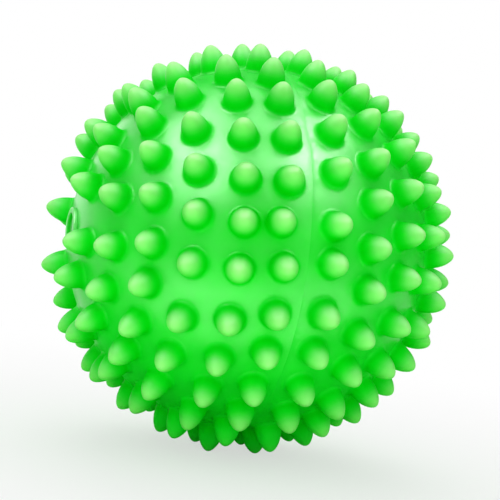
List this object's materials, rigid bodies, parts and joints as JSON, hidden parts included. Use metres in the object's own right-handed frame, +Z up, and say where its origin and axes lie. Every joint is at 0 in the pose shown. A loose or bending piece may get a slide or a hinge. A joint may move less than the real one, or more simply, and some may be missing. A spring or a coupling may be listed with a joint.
{
  "type": "massage ball",
  "caption": "Hollow soft PVC massage ball covered in bullet-shaped knobs, with a push-in stopper in its air port.",
  "frame": {"origin": "centre of the ball: the centre of the sphere the knob tips lie on", "axes": "X is the mould axis, with the air port at the -X pole and the parting plane at X = 0; +Z is up as the ball rests on its four lowest knobs"},
  "size_m": [0.0736, 0.0746, 0.0743],
  "materials": {
    "shell_pvc": "satin soft PVC, bright green, slightly translucent",
    "valve_seat_pvc": "satin soft PVC, pale green",
    "valve_plug_pvc": "satin PVC, green"
  },
  "bodies": {
    "ball": {"spiky_shell": "shell_pvc", "valve_seat": "valve_seat_pvc"},
    "plug": {"valve_plug": "valve_plug_pvc"}
  },
  "joints": [
    {"name": "plug_pull", "type": "slide", "parent": "ball", "child": "plug", "axis": [-1, 0, 0], "range_m": [0, 0.008]}
  ]
}
